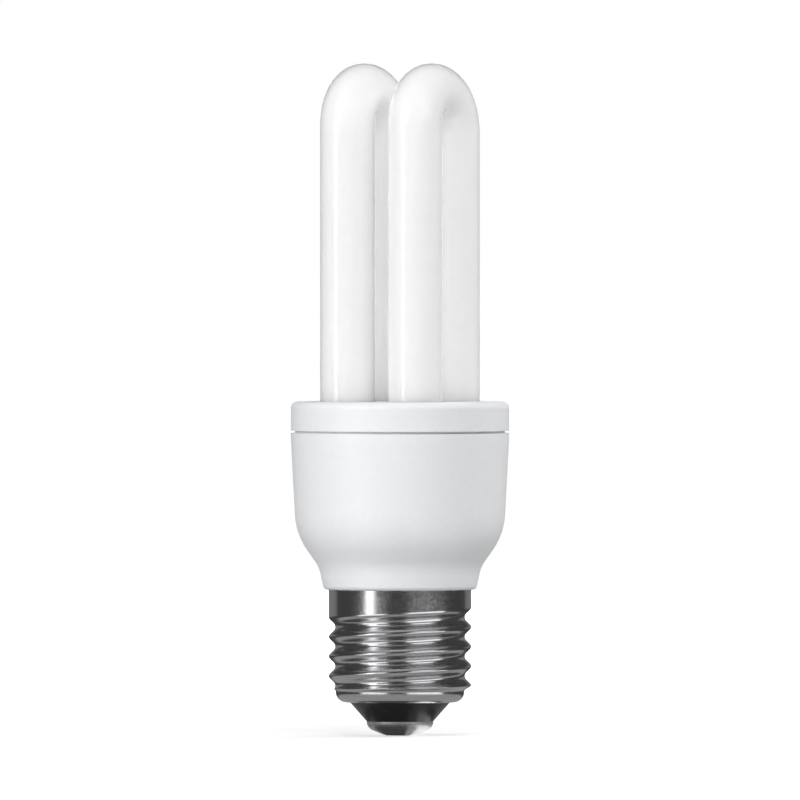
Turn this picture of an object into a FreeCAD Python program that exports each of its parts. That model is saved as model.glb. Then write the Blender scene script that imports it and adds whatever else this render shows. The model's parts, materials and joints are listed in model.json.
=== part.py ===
import FreeCAD, Part
import math
import os
import re
import Sketcher

V = FreeCAD.Vector

# Compact fluorescent lamp with two U shaped tubes on a screw base, in millimetres.
# Origin: the tip of the centre contact, on the lamp's axis, with +Z up towards the tubes.
# The legs of each U lie along Y, and the two Us stand side by side along X.

# Driving dimensions
SIZES = {
    # Screw base
    "contact_radius": 6.15,
    "contact_height": 2.7,
    "contact_tip_radius": 2.56,
    "contact_cheek_height": 1.52,
    "contact_tip_round": 6.2,
    "contact_cheek_round": 1.75,
    "eyelet_radius": 1.5,
    "eyelet_head": 0.6,
    "insulator_height": 3.5,
    "plug_height": 2.8,
    "rim_radius": 9.3,
    "crest_radius": 13.2,
    "thread_pitch": 3.62,
    "thread_depth": 1.2,
    "thread_turns": 5,
    "thread_start_angle": 60,
    "crest_ease": 0.06,
    "crest_land": 0.12,
    "crest_bevel_depth": 0.25,
    "crest_bevel_run": 0.5,
    "root_land": 0.66,
    "roll_mouth_ease": 0.105,
    "roll_root_ease": 0.147,
    "runout_turns": 0.3,
    "runout_angle": 50,
    "collar_length": 4.83,
    "shell_wall": 0.35,
    "shell_corner": 2.0,
    "foot_step": 0.1,
    "foot_straight": 0.1,
    "foot_taper": 1.1,
    "foot_inner_lift": 0.16,
    "base_length": 27.1,
    "base_fit": 0.05,
    # Ballast housing
    "housing_wall": 1.6,
    "neck_radius": 14.12,
    "neck_round": 0.8,
    "waist_radius": 15.0,
    "waist_rise": 4.17,
    "waist_round": 6.4,
    "shoulder_inset": 0.92,
    "shoulder_rise": 10.2,
    "shoulder_round": 12.5,
    "body_radius": 20.17,
    "rim_band": 1.3,
    "housing_length": 28.9,
    "spigot_wall": 1.5,
    "spigot_length": 14.0,
    "neck_web": 1.6,
    "rib_width": 1.2,
    "rib_depth": 7.0,
    "rib_reach": 1.0,
    # Tube cover
    "seam_gap": 0.45,
    "seam_depth": 0.77,
    "cover_height": 5.8,
    "cover_wall": 1.6,
    "cover_round": 1.2,
    "cover_fit": 0.15,
    "skirt_wall": 1.2,
    "bead_depth": 0.35,
    "bead_half_height": 0.8,
    "bead_drop": 3.0,
    "sleeve_wall": 1.0,
    "sleeve_length": 2.6,
    "cement_gap": 0.25,
    "cement_recess": 0.4,
    # Discharge tube
    "tube_radius": 5.05,
    "leg_spacing": 14.24,
    "front_bend_radius": 6.3,
    "overall_height": 124.3,
    "leg_sink": 4.7,
    "bridge_radius": 2.2,
    "bridge_drop": 1.9,
    "pinch_width": 6.0,
    "pinch_thickness": 2.2,
    "pinch_reach": 1.1,
    "tip_radius": 0.9,
    "tip_reach": 1.2,
    # Circuit board and what is soldered to it
    "board_thickness": 1.2,
    "board_drop": 6.8,
    "board_fit": 0.5,
    "lead_radius": 0.35,
    "hole_fit": 0.1,
    "lead_root": 0.6,
    "solder_radius": 0.65,
    "solder_height": 0.8,
    "part_gap": 0.6,
    "can_radius": 4.0,
    "can_length": 14.5,
    "can_lead_pitch": 3.5,
    "can_crimp_depth": 0.4,
    "can_crimp_drop": 1.0,
    "choke_width": 11.0,
    "choke_height": 11.0,
    "choke_core_depth": 5.0,
    "choke_leg": 1.8,
    "choke_centre_leg": 3.2,
    "choke_build": 2.0,
    "bobbin_wall": 0.5,
    "winding_fit": 0.3,
    "ring_radius": 4.3,
    "ring_bore": 2.5,
    "ring_height": 4.0,
    "ring_wire": 0.5,
    "ring_fit": 0.05,
    "transistor_radius": 2.35,
    "transistor_height": 4.6,
    "transistor_flat": 1.4,
    "transistor_pitch": 2.0,
    "transistor_stand": 1.5,
    "film_length": 9.0,
    "film_thickness": 3.6,
    "film_height": 8.0,
    "film_pitch": 5.0,
    "coupling_length": 7.5,
    "coupling_thickness": 2.8,
    "coupling_height": 7.0,
    "film_round": 0.8,
    "drum_radius": 2.5,
    "drum_height": 7.0,
    "drum_flange": 1.0,
    "drum_neck": 1.2,
    "drum_pitch": 3.0,
    "diode_radius": 1.25,
    "diode_length": 4.4,
    "diode_pitch": 6.6,
    "diode_row": 2.7,
    "resistor_radius": 1.1,
    "resistor_length": 2.6,
    "resistor_pitch": 4.4,
    "fuse_radius": 1.2,
    "fuse_length": 6.0,
    "fuse_pitch": 8.4,
    "trigger_radius": 0.95,
    "trigger_length": 3.8,
    "trigger_pitch": 6.0,
    "pin_radius": 0.5,
    "pin_height": 4.4,
    "pin_inset": 2.73,
    "pin_apart": 5.0,
    "filament_radius": 0.3,
    "filament_apart": 3.0,
    "wrap_pitch": 0.48,
    # Wires to the base
    "wire_radius": 0.6,
    "wire_bend": 2.0,
    "contact_wire_reach": 6.9,
    "contact_wire_angle": -45,
    "contact_wire_cross": 20.0,
    "shell_wire_reach": 7.5,
    "shell_wire_angle": 138,
    "shell_wire_turn": 3,
    "shell_wire_touch": 0.02,
}

doc = FreeCAD.newDocument("lamp")
sizes = doc.addObject("Spreadsheet::Sheet", "sizes")
for row, (alias, number) in enumerate(SIZES.items(), start=1):
    sizes.set(f"A{row}", alias)
    sizes.set(f"B{row}", str(number))
    sizes.setAlias(f"B{row}", alias)
doc.recompute()

# Heights and radii that several pieces share, written with the names above
SHARED = {
    "rim_height": "contact_height + insulator_height",
    "root_radius": "crest_radius - thread_depth",
    "foot_radius": "root_radius - foot_step",
    "plug_top": "rim_height + plug_height",
    "groove_top": "base_length - collar_length",
    "groove_start": "groove_top - thread_turns * thread_pitch",
    "seat_height": "groove_top + (runout_turns + 0.5) * thread_pitch + base_fit",
    "spigot_radius": "root_radius - shell_wall - 2 * base_fit",
    "waist_height": "base_length + waist_rise",
    "shoulder_height": "base_length + shoulder_rise",
    "shoulder_radius": "body_radius - shoulder_inset",
    "seam_height": "base_length + housing_length",
    "cover_top": "seam_height + cover_height",
    "draft": "shoulder_inset / (housing_length - rim_band - shoulder_rise)",
    "board_under": "seam_height - board_drop - board_thickness",
    "board_top": "seam_height - board_drop",
    "cover_under": "cover_top - cover_wall",
    "leg_bottom": "cover_top - leg_sink",
    "rear_bend_radius": "leg_spacing - front_bend_radius",
    "leg_hole": "tube_radius + cement_gap",
    "half_spacing": "leg_spacing / 2",
    "rib_bore": "shoulder_radius - housing_wall - rib_reach",
    "skirt_end": "body_radius - housing_wall - cover_fit - draft * (board_drop - rim_band)",
    "pin_across": "skirt_end - skirt_wall - pin_inset",
}


def in_sheet(match):
    word = match.group()
    return f"sizes.{word}" if word in SIZES or word in SHARED else word


def ex(text):
    """An expression over the sheet, from one written with the plain names."""
    return re.sub(r"[A-Za-z_]\w*", in_sheet, text)


for row, (alias, text) in enumerate(SHARED.items(), start=len(SIZES) + 1):
    sizes.set(f"A{row}", alias)
    sizes.set(f"B{row}", "=" + ex(text).replace("sizes.", ""))
    sizes.setAlias(f"B{row}", alias)
doc.recompute()

NODES = {}


def size(alias):
    return float(sizes.get(alias))


def bind(item, **expressions):
    for prop, text in expressions.items():
        item.setExpression(prop.replace("__", "."), ex(str(text)))
    return item


def node(label, item):
    item.Label = label
    NODES[label] = item
    return item


# Sketches and features of the turned and moulded pieces

def body(name):
    return doc.addObject("PartDesign::Body", name)


def origin_plane(owner, role):
    return next(o for o in owner.Origin.OriginFeatures if o.Role == role)


def sketch(owner, name, role):
    made = owner.newObject("Sketcher::SketchObject", name)
    made.AttachmentSupport = (origin_plane(owner, role), "")
    made.MapMode = "FlatFace"
    return made


def hold(made, kind, geo, pos, text, start=1.0):
    """Hold one coordinate of a sketch point at an expression."""
    index = made.addConstraint(Sketcher.Constraint(kind, -1, 1, geo, pos, start))
    made.setExpression(f"Constraints[{index}]", ex(text))


def hold_radius(made, geo, text):
    """Hold the radius of a sketch circle at an expression."""
    index = made.addConstraint(Sketcher.Constraint("Radius", geo, 1.0))
    made.setExpression(f"Constraints[{index}]", ex(text))


def profile(owner, name, points, role="XZ_Plane"):
    """A closed outline of straight lines whose corners are held at the given expressions.

    The corners start spread round a circle, and the constraints then pull each to its place.
    """
    made = sketch(owner, name, role)
    count = len(points)
    step = 2 * math.pi / count
    spots = [V(math.cos(step * i), math.sin(step * i), 0) for i in range(count)]
    for i in range(count):
        made.addGeometry(Part.LineSegment(spots[i], spots[(i + 1) % count]), False)
    for i in range(count):
        made.addConstraint(Sketcher.Constraint("Coincident", i, 2, (i + 1) % count, 1))
    for i, (across, up) in enumerate(points):
        if across == 0:
            made.addConstraint(Sketcher.Constraint("PointOnObject", i, 1, -2))
        else:
            hold(made, "DistanceX", i, 1, across)
        if up == 0:
            made.addConstraint(Sketcher.Constraint("PointOnObject", i, 1, -1))
        else:
            hold(made, "DistanceY", i, 1, up)
    doc.recompute()
    return made


def revolve(owner, name, points, kind="Revolution"):
    outline = profile(owner, name + "_outline", points)
    made = owner.newObject("PartDesign::" + kind, name)
    made.Profile = outline
    made.ReferenceAxis = (outline, ["V_Axis"])
    made.Angle = 360
    doc.recompute()
    return made


def circle_edge(owner, radius, height):
    """The name of the round edge of a body nearest to a radius and a height."""
    best = None
    for i, edge in enumerate(owner.Tip.Shape.Edges, start=1):
        if edge.Curve.TypeId != "Part::GeomCircle":
            continue
        miss = abs(edge.Curve.Radius - radius) + abs(edge.Curve.Center.z - height)
        if best is None or miss < best[0]:
            best = (miss, f"Edge{i}")
    return best[1]


def round_edge(owner, name, radius, height, amount):
    base = owner.Tip
    edge = circle_edge(owner, radius, height)
    made = owner.newObject("PartDesign::Fillet", name)
    made.Base = (base, [edge])
    bind(made, Radius=amount)
    doc.recompute()
    return made


CORNERS = [(i, j) for i in (-1, 1) for j in (-1, 1)]


def leg_circles(owner, name, radius, height):
    """A sketch of four circles on the tube legs, at a height."""
    made = sketch(owner, name, "XY_Plane")
    bind(made, AttachmentOffset__Base__z=height)
    half = size("half_spacing")
    for geo, (i, j) in enumerate(CORNERS):
        made.addGeometry(Part.Circle(V(half * i, half * j, 0), V(0, 0, 1), half), False)
        hold(made, "DistanceX", geo, 3, f"{i} * half_spacing", half * i)
        hold(made, "DistanceY", geo, 3, f"{j} * half_spacing", half * j)
        hold_radius(made, geo, radius)
    doc.recompute()
    return made


# Solids of the glass, wire and electronics

TURNS = {
    "z": FreeCAD.Rotation(),
    "x": FreeCAD.Rotation(V(0, 1, 0), 90),
    "y": FreeCAD.Rotation(V(1, 0, 0), -90),
    "front_bend": FreeCAD.Rotation(V(0, -1, 0), V(0, 0, 1), V(-1, 0, 0), "XYZ"),
    "rear_bend": FreeCAD.Rotation(V(0, 1, 0), V(0, 0, 1), V(1, 0, 0), "XYZ"),
}


def put(item, x, y, z, turn=TURNS["z"]):
    item.Placement = FreeCAD.Placement(V(), turn)
    bind(item, Placement__Base__x=x, Placement__Base__y=y, Placement__Base__z=z)
    return item


def cylinder(name, radius, length, x, y, z, turn=TURNS["z"]):
    item = doc.addObject("Part::Cylinder", name)
    bind(item, Radius=radius, Height=length)
    return put(item, x, y, z, turn)


def ball(name, radius, x, y, z):
    item = doc.addObject("Part::Sphere", name)
    bind(item, Radius=radius)
    return put(item, x, y, z)


def bend(name, bend_radius, radius, x, y, z, turn, sweep=90):
    item = doc.addObject("Part::Torus", name)
    bind(item, Radius1=bend_radius, Radius2=radius)
    item.Angle3 = sweep
    return put(item, x, y, z, turn)


def block(name, wide, deep, high, x, y, z):
    """A box centred on x and y, standing on z."""
    item = doc.addObject("Part::Box", name)
    bind(item, Length=wide, Width=deep, Height=high)
    return put(item, f"({x}) - ({wide}) / 2", f"({y}) - ({deep}) / 2", z)


def fuse(name, items):
    made = doc.addObject("Part::MultiFuse", name)
    made.Shapes = items
    return made


def cut(name, base, tool):
    made = doc.addObject("Part::Cut", name)
    made.Base = base
    made.Tool = tool
    return made


def group(name, items):
    made = doc.addObject("Part::Compound", name)
    made.Links = items
    return made


# Screw shell: a thin sleeve, its thread rolled into both faces of the sheet and run out at the collar

def rolled_blank(name, inset, lift, inner, sections):
    """One face of the rolled sheet, as a solid: the blank inset from the outside, less its thread groove."""
    owner = body(name)
    foot = f"foot_radius - {inset}"
    crest = f"crest_radius - {inset}"
    taper = f"rim_height + shell_corner + foot_straight + {lift}"
    revolve(owner, name + "_blank", [
        (inner, f"rim_height + {inset}"),
        (foot, f"rim_height + {inset}"),
        (foot, taper),
        (crest + " - crest_ease", taper + " + foot_taper"),
        (crest, "seat_height"),
        (crest, "base_length"),
        (inner, "base_length"),
    ])
    shift = size("shell_wall") if inset != "0" else 0
    round_edge(owner, name + "_corner", size("foot_radius") - shift, size("rim_height") + shift,
               f"shell_corner - {inset}")
    for part, height, turns, slope in (("_roll", "groove_start", "thread_turns", "0"),
                                       ("_runout", "groove_top", "runout_turns", "runout_angle")):
        points = [(r, f"{height} + {z}") for r, z in sections]
        points += [(r, f"{height} - ({z})") for r, z in reversed(sections)]
        outline = profile(owner, name + part + "_section", points)
        roll = owner.newObject("PartDesign::SubtractiveHelix", name + part)
        roll.Profile = outline
        roll.ReferenceAxis = (outline, ["V_Axis"])
        roll.Mode = "pitch-turns-angle"
        bind(roll, Pitch="thread_pitch", Turns=turns, Angle=slope)
        doc.recompute()
    return owner


mouth = "0.5 * (thread_pitch - crest_land)"
shell = rolled_blank("shell", "0", "0", "rim_radius", [
    ("crest_radius + thread_depth", mouth),
    ("crest_radius", mouth),
    ("crest_radius - crest_bevel_depth", mouth + " - crest_bevel_run"),
    ("root_radius", "0.5 * root_land"),
])
inner_mouth = mouth + " - roll_mouth_ease"
hollow = rolled_blank("hollow", "shell_wall", "foot_inner_lift", "rim_radius - shell_wall", [
    ("crest_radius + thread_depth", inner_mouth),
    ("crest_radius - shell_wall", inner_mouth),
    ("root_radius - shell_wall", "0.5 * root_land + roll_root_ease"),
])
sheet_cut = shell.newObject("PartDesign::Boolean", "sheet_cut")
sheet_cut.setObjects([hollow])
sheet_cut.Type = "Cut"
doc.recompute()
shell.Placement = FreeCAD.Placement(V(), FreeCAD.Rotation(V(0, 0, 1), size("thread_start_angle")))
node("screw_shell", shell)

# Base insulator: the glass plug in the foot of the shell, with the cone that shows below it

insulator = body("insulator")
plug_under = "rim_height + shell_wall + base_fit"
plug_radius = "foot_radius - shell_wall - base_fit"
revolve(insulator, "plug", [
    ("eyelet_radius + base_fit", "contact_height"),
    ("contact_radius", "contact_height"),
    ("rim_radius - base_fit", "rim_height"),
    ("rim_radius - base_fit", plug_under),
    (plug_radius, plug_under),
    (plug_radius, "plug_top"),
    ("eyelet_radius + base_fit", "plug_top"),
])
plug_inset = size("shell_wall") + size("base_fit")
round_edge(insulator, "plug_corner", size("foot_radius") - plug_inset, size("rim_height") + plug_inset,
           "shell_corner - shell_wall")
node("base_insulator", insulator)

# Centre contact: the dome and its eyelet through the plug

contact = body("contact")
revolve(contact, "dome", [
    (0, 0),
    ("contact_tip_radius", 0),
    ("contact_radius", "contact_cheek_height"),
    ("contact_radius", "contact_height"),
    ("eyelet_radius", "contact_height"),
    ("eyelet_radius", "plug_top + eyelet_head"),
    (0, "plug_top + eyelet_head"),
])
round_edge(contact, "tip", size("contact_tip_radius"), 0, "contact_tip_round")
round_edge(contact, "cheek", size("contact_radius"), size("contact_cheek_height"), "contact_cheek_round")
node("centre_contact", contact)

# Ballast housing: a moulded cup of even wall, with the spigot that carries the shell

housing = body("housing")
revolve(housing, "cup", [
    (0, "base_length"),
    ("neck_radius", "base_length"),
    ("waist_radius", "waist_height"),
    ("shoulder_radius", "shoulder_height"),
    ("body_radius", "seam_height - rim_band"),
    ("body_radius", "seam_height"),
    (0, "seam_height"),
])
round_edge(housing, "shoulder", size("shoulder_radius"), size("shoulder_height"), "shoulder_round")
round_edge(housing, "waist", size("waist_radius"), size("waist_height"), "waist_round")
flats = []
rounded_cup = housing.Tip
for i, face in enumerate(rounded_cup.Shape.Faces, start=1):
    if face.Surface.TypeId == "Part::GeomPlane":
        flats.append(f"Face{i}")
walls = housing.newObject("PartDesign::Thickness", "walls")
walls.Base = (rounded_cup, flats)
walls.Reversed = True
walls.Join = 1
bind(walls, Value="housing_wall")
doc.recompute()
spigot_bore = "spigot_radius - spigot_wall"
revolve(housing, "spigot", [
    (spigot_bore, "base_length - spigot_length"),
    ("spigot_radius", "base_length - spigot_length"),
    ("spigot_radius", "seat_height"),
    ("crest_radius - shell_wall - base_fit", "seat_height"),
    ("crest_radius - shell_wall - base_fit", "base_length"),
    ("neck_radius - housing_wall / 2", "base_length"),
    ("neck_radius - housing_wall / 2", "base_length + neck_web"),
    (spigot_bore, "base_length + neck_web"),
])
round_edge(housing, "neck_edge", size("neck_radius"), size("base_length"), "neck_round")
bead_height = "seam_height - bead_drop"
bore_at_bead = "body_radius - housing_wall - draft * (bead_drop - rim_band)"
revolve(housing, "bead_channel", [
    (bore_at_bead + " - housing_wall", bead_height + " - bead_half_height"),
    (bore_at_bead + " + bead_depth", bead_height + " - bead_half_height"),
    (bore_at_bead + " + bead_depth", bead_height + " + bead_half_height"),
    (bore_at_bead + " - housing_wall", bead_height + " + bead_half_height"),
], "Groove")
rib_outer = "shoulder_radius - housing_wall / 4"
rib_outline = profile(housing, "rib_outline", [
    ("rib_bore", "board_under"),
    ("rib_bore", "board_under - rib_depth + rib_reach"),
    (rib_outer, "board_under - rib_depth"),
    (rib_outer, "board_under"),
])
rib = housing.newObject("PartDesign::Pad", "rib")
rib.Profile = rib_outline
rib.Midplane = True
bind(rib, Length="rib_width")
doc.recompute()
ribs = housing.newObject("PartDesign::PolarPattern", "ribs")
ribs.Originals = [rib]
ribs.Axis = (rib_outline, ["V_Axis"])
ribs.Angle = 360
ribs.Occurrences = 4
housing.Tip = ribs
doc.recompute()
# The hole that lets the shell wire through the spigot, on the inner crest of the thread
groove_turn = "(shell_wire_angle - thread_start_angle) / 360"
wire_hole_height = f"groove_start + thread_pitch * (shell_wire_turn + {groove_turn})"
hole_body = body("wire_hole")
hole_outline = sketch(hole_body, "wire_hole_outline", "YZ_Plane")
hole_outline.addGeometry(Part.Circle(V(0, 1, 0), V(0, 0, 1), 1), False)
hole_outline.addConstraint(Sketcher.Constraint("PointOnObject", 0, 3, -2))
hold(hole_outline, "DistanceY", 0, 3, wire_hole_height)
hold_radius(hole_outline, 0, "wire_radius + hole_fit")
drill = hole_body.newObject("PartDesign::Pad", "drill")
drill.Profile = hole_outline
bind(drill, Length="crest_radius")
doc.recompute()
hole_body.Placement = FreeCAD.Placement(V(), FreeCAD.Rotation(V(0, 0, 1), size("shell_wire_angle")))
drilled = housing.newObject("PartDesign::Boolean", "wire_passage")
drilled.setObjects([hole_body])
drilled.Type = "Cut"
doc.recompute()
node("ballast_housing", housing)

# Tube cover: the cap, its seam, its snap bead and the four sleeves around the legs

cover = body("cover")
skirt_top = "body_radius - housing_wall - cover_fit"
skirt_tip = "board_top + cover_fit"
bead_out = bore_at_bead + " + bead_depth - cover_fit"
skirt_at_bead = bore_at_bead + " - cover_fit"
revolve(cover, "cap", [
    (0, "cover_top"),
    ("body_radius", "cover_top"),
    ("body_radius", "seam_height + seam_gap"),
    ("body_radius - seam_depth", "seam_height + seam_gap"),
    ("body_radius - seam_depth", "seam_height"),
    (skirt_top, "seam_height"),
    (skirt_at_bead, bead_height + " + bead_half_height - cover_fit"),
    (bead_out, bead_height + " + bead_half_height - 2 * cover_fit"),
    (skirt_at_bead, bead_height + " - bead_half_height + cover_fit"),
    ("skirt_end", skirt_tip),
    ("skirt_end - skirt_wall", skirt_tip),
    ("skirt_end - skirt_wall", "cover_under"),
    (0, "cover_under"),
])
round_edge(cover, "cap_edge", size("body_radius"), size("cover_top"), "cover_round")
sleeves = cover.newObject("PartDesign::Pad", "sleeves")
sleeve_foot = "cover_under - sleeve_length"
sleeves.Profile = leg_circles(cover, "sleeve_circles", "leg_hole + sleeve_wall", sleeve_foot)
bind(sleeves, Length="sleeve_length + cover_wall / 2")
doc.recompute()
leg_holes = cover.newObject("PartDesign::Pocket", "leg_holes")
leg_holes.Profile = leg_circles(cover, "hole_circles", "leg_hole", sleeve_foot)
leg_holes.Type = "ThroughAll"
leg_holes.Reversed = True
doc.recompute()
node("tube_cover", cover)

# Discharge tube: two bends of coated glass, closed below and joined by a bridge behind

glass = []
for side, name in ((-1, "left"), (1, "right")):
    x = f"{side} * half_spacing"
    for back, place in ((-1, "front"), (1, "rear")):
        leg = f"{name}_{place}"
        radius = place + "_bend_radius"
        y = f"{back} * half_spacing"
        spring = f"overall_height - tube_radius - {radius}"
        glass.append(cylinder(leg + "_leg", "tube_radius", f"{spring} - leg_bottom", x, y, "leg_bottom"))
        glass.append(ball(leg + "_end", "tube_radius", x, y, "leg_bottom"))
        glass.append(bend(leg + "_bend", radius, "tube_radius", x, f"{y} - {back} * {radius}",
                          spring, TURNS[place + "_bend"]))
    glass.append(block(name + "_pinch", "pinch_width", "pinch_thickness", "tube_radius", x, "-half_spacing",
                       "leg_bottom - tube_radius - pinch_reach"))
    glass.append(cylinder(name + "_tip", "tip_radius", "tube_radius", x, "half_spacing",
                          "leg_bottom - tube_radius - tip_reach"))
glass.append(cylinder("bridge", "bridge_radius", "leg_spacing", "-half_spacing", "half_spacing",
                      "leg_bottom - bridge_drop", TURNS["x"]))
node("discharge_tube", fuse("tube_glass", glass))

# Tube cement: a ring round each leg in its sleeve

rings = []
cement_depth = "sleeve_length + cover_wall - cement_recess"
for number, (i, j) in enumerate(CORNERS):
    spot = (f"{i} * half_spacing", f"{j} * half_spacing", sleeve_foot)
    full = cylinder(f"cement_{number}", "leg_hole", cement_depth, *spot)
    bore = cylinder(f"cement_bore_{number}", "tube_radius", cement_depth, *spot)
    rings.append(cut(f"cement_ring_{number}", full, bore))
node("tube_cement", group("cement", rings))

# Circuit board parts. Each lead runs up through the board to a solder joint on its top.

HOLES = []
JOINTS = []
RING_TURNS = 9
WRAP_TURNS = 3


def lead(name, x, y, start, radius="lead_radius"):
    """A lead from a height up to the top of the board, with its hole and its solder joint."""
    HOLES.append(cylinder(name + "_hole", f"{radius} + hole_fit", "3 * board_thickness",
                          x, y, "board_under - board_thickness"))
    joint = doc.addObject("Part::Cone", name + "_joint")
    bind(joint, Radius1="solder_radius", Radius2="lead_radius", Height="solder_height")
    JOINTS.append(put(joint, x, y, "board_top"))
    return cylinder(name + "_lead", radius, f"board_top - ({start})", x, y, start)


def axial(label, radius, length, pitch, x, y):
    """A part lying under the board along X, with both leads turned up."""
    level = f"board_under - {radius}"
    pieces = [
        cylinder(label + "_case", radius, length, f"{x} - {length} / 2", y, level, TURNS["x"]),
        cylinder(label + "_wire", "lead_radius", pitch, f"{x} - {pitch} / 2", y, level, TURNS["x"]),
    ]
    for side in (-1, 1):
        end = f"{x} + {side} * {pitch} / 2"
        pieces.append(ball(f"{label}_elbow_{side + 1}", "lead_radius", end, y, level))
        pieces.append(lead(f"{label}_{side + 1}", end, y, level))
    node(label, fuse(label + "_all", pieces))


def rounded(name, item, amount):
    made = doc.addObject("Part::Fillet", name)
    made.Base = item
    made.Edges = [(i, amount, amount) for i in range(1, 13)]
    return made


# Smoothing capacitor, hanging into the neck, with the crimp in its can
can = body("can")
crimp_top = "board_under - can_crimp_drop"
revolve(can, "can_shape", [
    (0, "board_under - can_length"),
    ("can_radius", "board_under - can_length"),
    ("can_radius", crimp_top + " - 4 * can_crimp_depth"),
    ("can_radius - can_crimp_depth", crimp_top + " - 2 * can_crimp_depth"),
    ("can_radius", crimp_top),
    ("can_radius", "board_under"),
    (0, "board_under"),
])
can_leads = []
for side in (-1, 1):
    can_leads.append(lead(f"can_{side + 1}", f"{side} * can_lead_pitch / 2", "0", "board_under"))
node("smoothing_capacitor", fuse("can_all", [can] + can_leads))

# Ballast choke, beside the can: core, bobbin and winding
choke_x = "-(can_radius + part_gap + choke_core_depth / 2 + choke_build)"
window_high = "(choke_height - 2 * choke_leg)"
window_low = "board_under - choke_height + choke_leg"
outer_core = block("choke_frame", "choke_core_depth", "choke_width", "choke_height", choke_x, "0",
                   "board_under - choke_height")
window_wide = "(choke_width - 2 * choke_leg - choke_centre_leg) / 2"
windows = []
for side in (-1, 1):
    window_y = f"{side} * (choke_centre_leg / 2 + {window_wide} / 2)"
    windows.append(block(f"choke_window_{side + 1}", "2 * choke_core_depth", window_wide, window_high,
                         choke_x, window_y, window_low))
node("choke_core", cut("choke_core_all", outer_core, group("choke_windows", windows)))
flange_reach = "2 * (choke_build - winding_fit)"
spool = block("spool", f"choke_core_depth + {flange_reach}", f"choke_centre_leg + {flange_reach}",
              window_high, choke_x, "0", window_low)
lane = block("spool_lane", f"choke_core_depth + 2 * {flange_reach}", f"choke_centre_leg + 2 * {flange_reach}",
             f"{window_high} - 2 * bobbin_wall", choke_x, "0", f"{window_low} + bobbin_wall")
stem = block("spool_stem", "choke_core_depth + 2 * bobbin_wall", "choke_centre_leg + 2 * bobbin_wall",
             window_high, choke_x, "0", window_low)
spool_bore = block("spool_bore", "choke_core_depth", "choke_centre_leg", f"2 * {window_high}", choke_x, "0",
                   f"{window_low} - {window_high} / 2")
flanges = cut("spool_flanges", spool, lane)
pins = []
for side in (-1, 1):
    pins.append(lead(f"choke_{side + 1}", f"{choke_x} + {side} * (choke_core_depth + choke_build) / 2", "0",
                     f"{window_low} + {window_high} - bobbin_wall"))
node("choke_bobbin", cut("bobbin_all", fuse("bobbin_body", [flanges, stem] + pins), spool_bore))
coil = block("coil", f"choke_core_depth + {flange_reach} - winding_fit",
             f"choke_centre_leg + {flange_reach} - winding_fit",
             f"{window_high} - 2 * bobbin_wall", choke_x, "0", f"{window_low} + bobbin_wall")
coil_bore = block("coil_bore", "choke_core_depth + 2 * bobbin_wall", "choke_centre_leg + 2 * bobbin_wall",
                  f"2 * {window_high}", choke_x, "0", f"{window_low} - {window_high} / 2")
node("choke_winding", cut("coil_all", coil, coil_bore))

# Drive transformer, on the other side: a ring core with turns of wire
ring_x = "can_radius + part_gap + ring_radius + ring_wire"
ring_low = "board_under - ring_wire - ring_height"
ring_full = cylinder("ring_full", "ring_radius", "ring_height", ring_x, "0", ring_low)
ring_hole = cylinder("ring_hole", "ring_bore", "ring_height", ring_x, "0", ring_low)
node("drive_core", cut("ring_all", ring_full, ring_hole))
turns = []
section = "ring_radius - ring_bore"
for number in range(RING_TURNS):
    angle = 360 / RING_TURNS * number
    outer_turn = doc.addObject("Part::Box", f"turn_{number}")
    bind(outer_turn, Length=f"{section} + 2 * ring_wire", Width="ring_wire",
         Height="ring_height + 2 * ring_wire")
    inner_turn = doc.addObject("Part::Box", f"turn_gap_{number}")
    bind(inner_turn, Length=f"{section} + 2 * ring_fit", Width="2 * ring_wire", Height="ring_height")
    for item, start, back, low in (
        (outer_turn, "ring_bore - ring_wire", "ring_wire / 2", f"{ring_low} - ring_wire"),
        (inner_turn, "ring_bore - ring_fit", "ring_wire", ring_low),
    ):
        put(item, f"{ring_x} + ({start}) * cos({angle}) + {back} * sin({angle})",
            f"({start}) * sin({angle}) - {back} * cos({angle})", low, FreeCAD.Rotation(V(0, 0, 1), angle))
    turns.append(cut(f"turn_all_{number}", outer_turn, inner_turn))
node("drive_winding", group("drive_turns", turns))

# Transistors: a moulded case with a flat, on three leads
for number, (x, y) in enumerate([
    ("coupling_length / 2 + part_gap + transistor_radius",
     "ring_radius + ring_wire + 2 * part_gap + 2 * resistor_radius + transistor_radius"),
    ("0", "-(can_radius + part_gap + transistor_radius)"),
], start=1):
    label = f"transistor_{number}"
    low = "board_under - transistor_stand - transistor_height"
    case = cylinder(label + "_round", "transistor_radius", "transistor_height", x, y, low)
    flat = block(label + "_flat", "3 * transistor_radius", "transistor_radius", "2 * transistor_height", x,
                 f"{y} - transistor_flat - transistor_radius / 2", f"{low} - transistor_height / 2")
    legs = []
    for side in (-1, 0, 1):
        legs.append(lead(f"{label}_{side + 1}", f"{x} + {side} * transistor_pitch", y,
                         "board_under - transistor_stand - lead_root"))
    node(label, fuse(label + "_all", [cut(label + "_case", case, flat)] + legs))

# Film capacitors, one behind the other
film_y = "can_radius + part_gap + film_thickness / 2"
coupling_y = "can_radius + 2 * part_gap + film_thickness + coupling_thickness / 2"
for label, kind, y in (
    ("resonant_capacitor", "film", film_y),
    ("coupling_capacitor", "coupling", coupling_y),
):
    case = block(label + "_block", f"{kind}_length", f"{kind}_thickness", f"{kind}_height", "0", y,
                 f"board_under - {kind}_height")
    doc.recompute()
    legs = []
    for side in (-1, 1):
        legs.append(lead(f"{label}_{side + 1}", f"{side} * film_pitch / 2", y, "board_under - lead_root"))
    node(label, fuse(label + "_all", [rounded(label + "_case", case, size("film_round"))] + legs))

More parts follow.
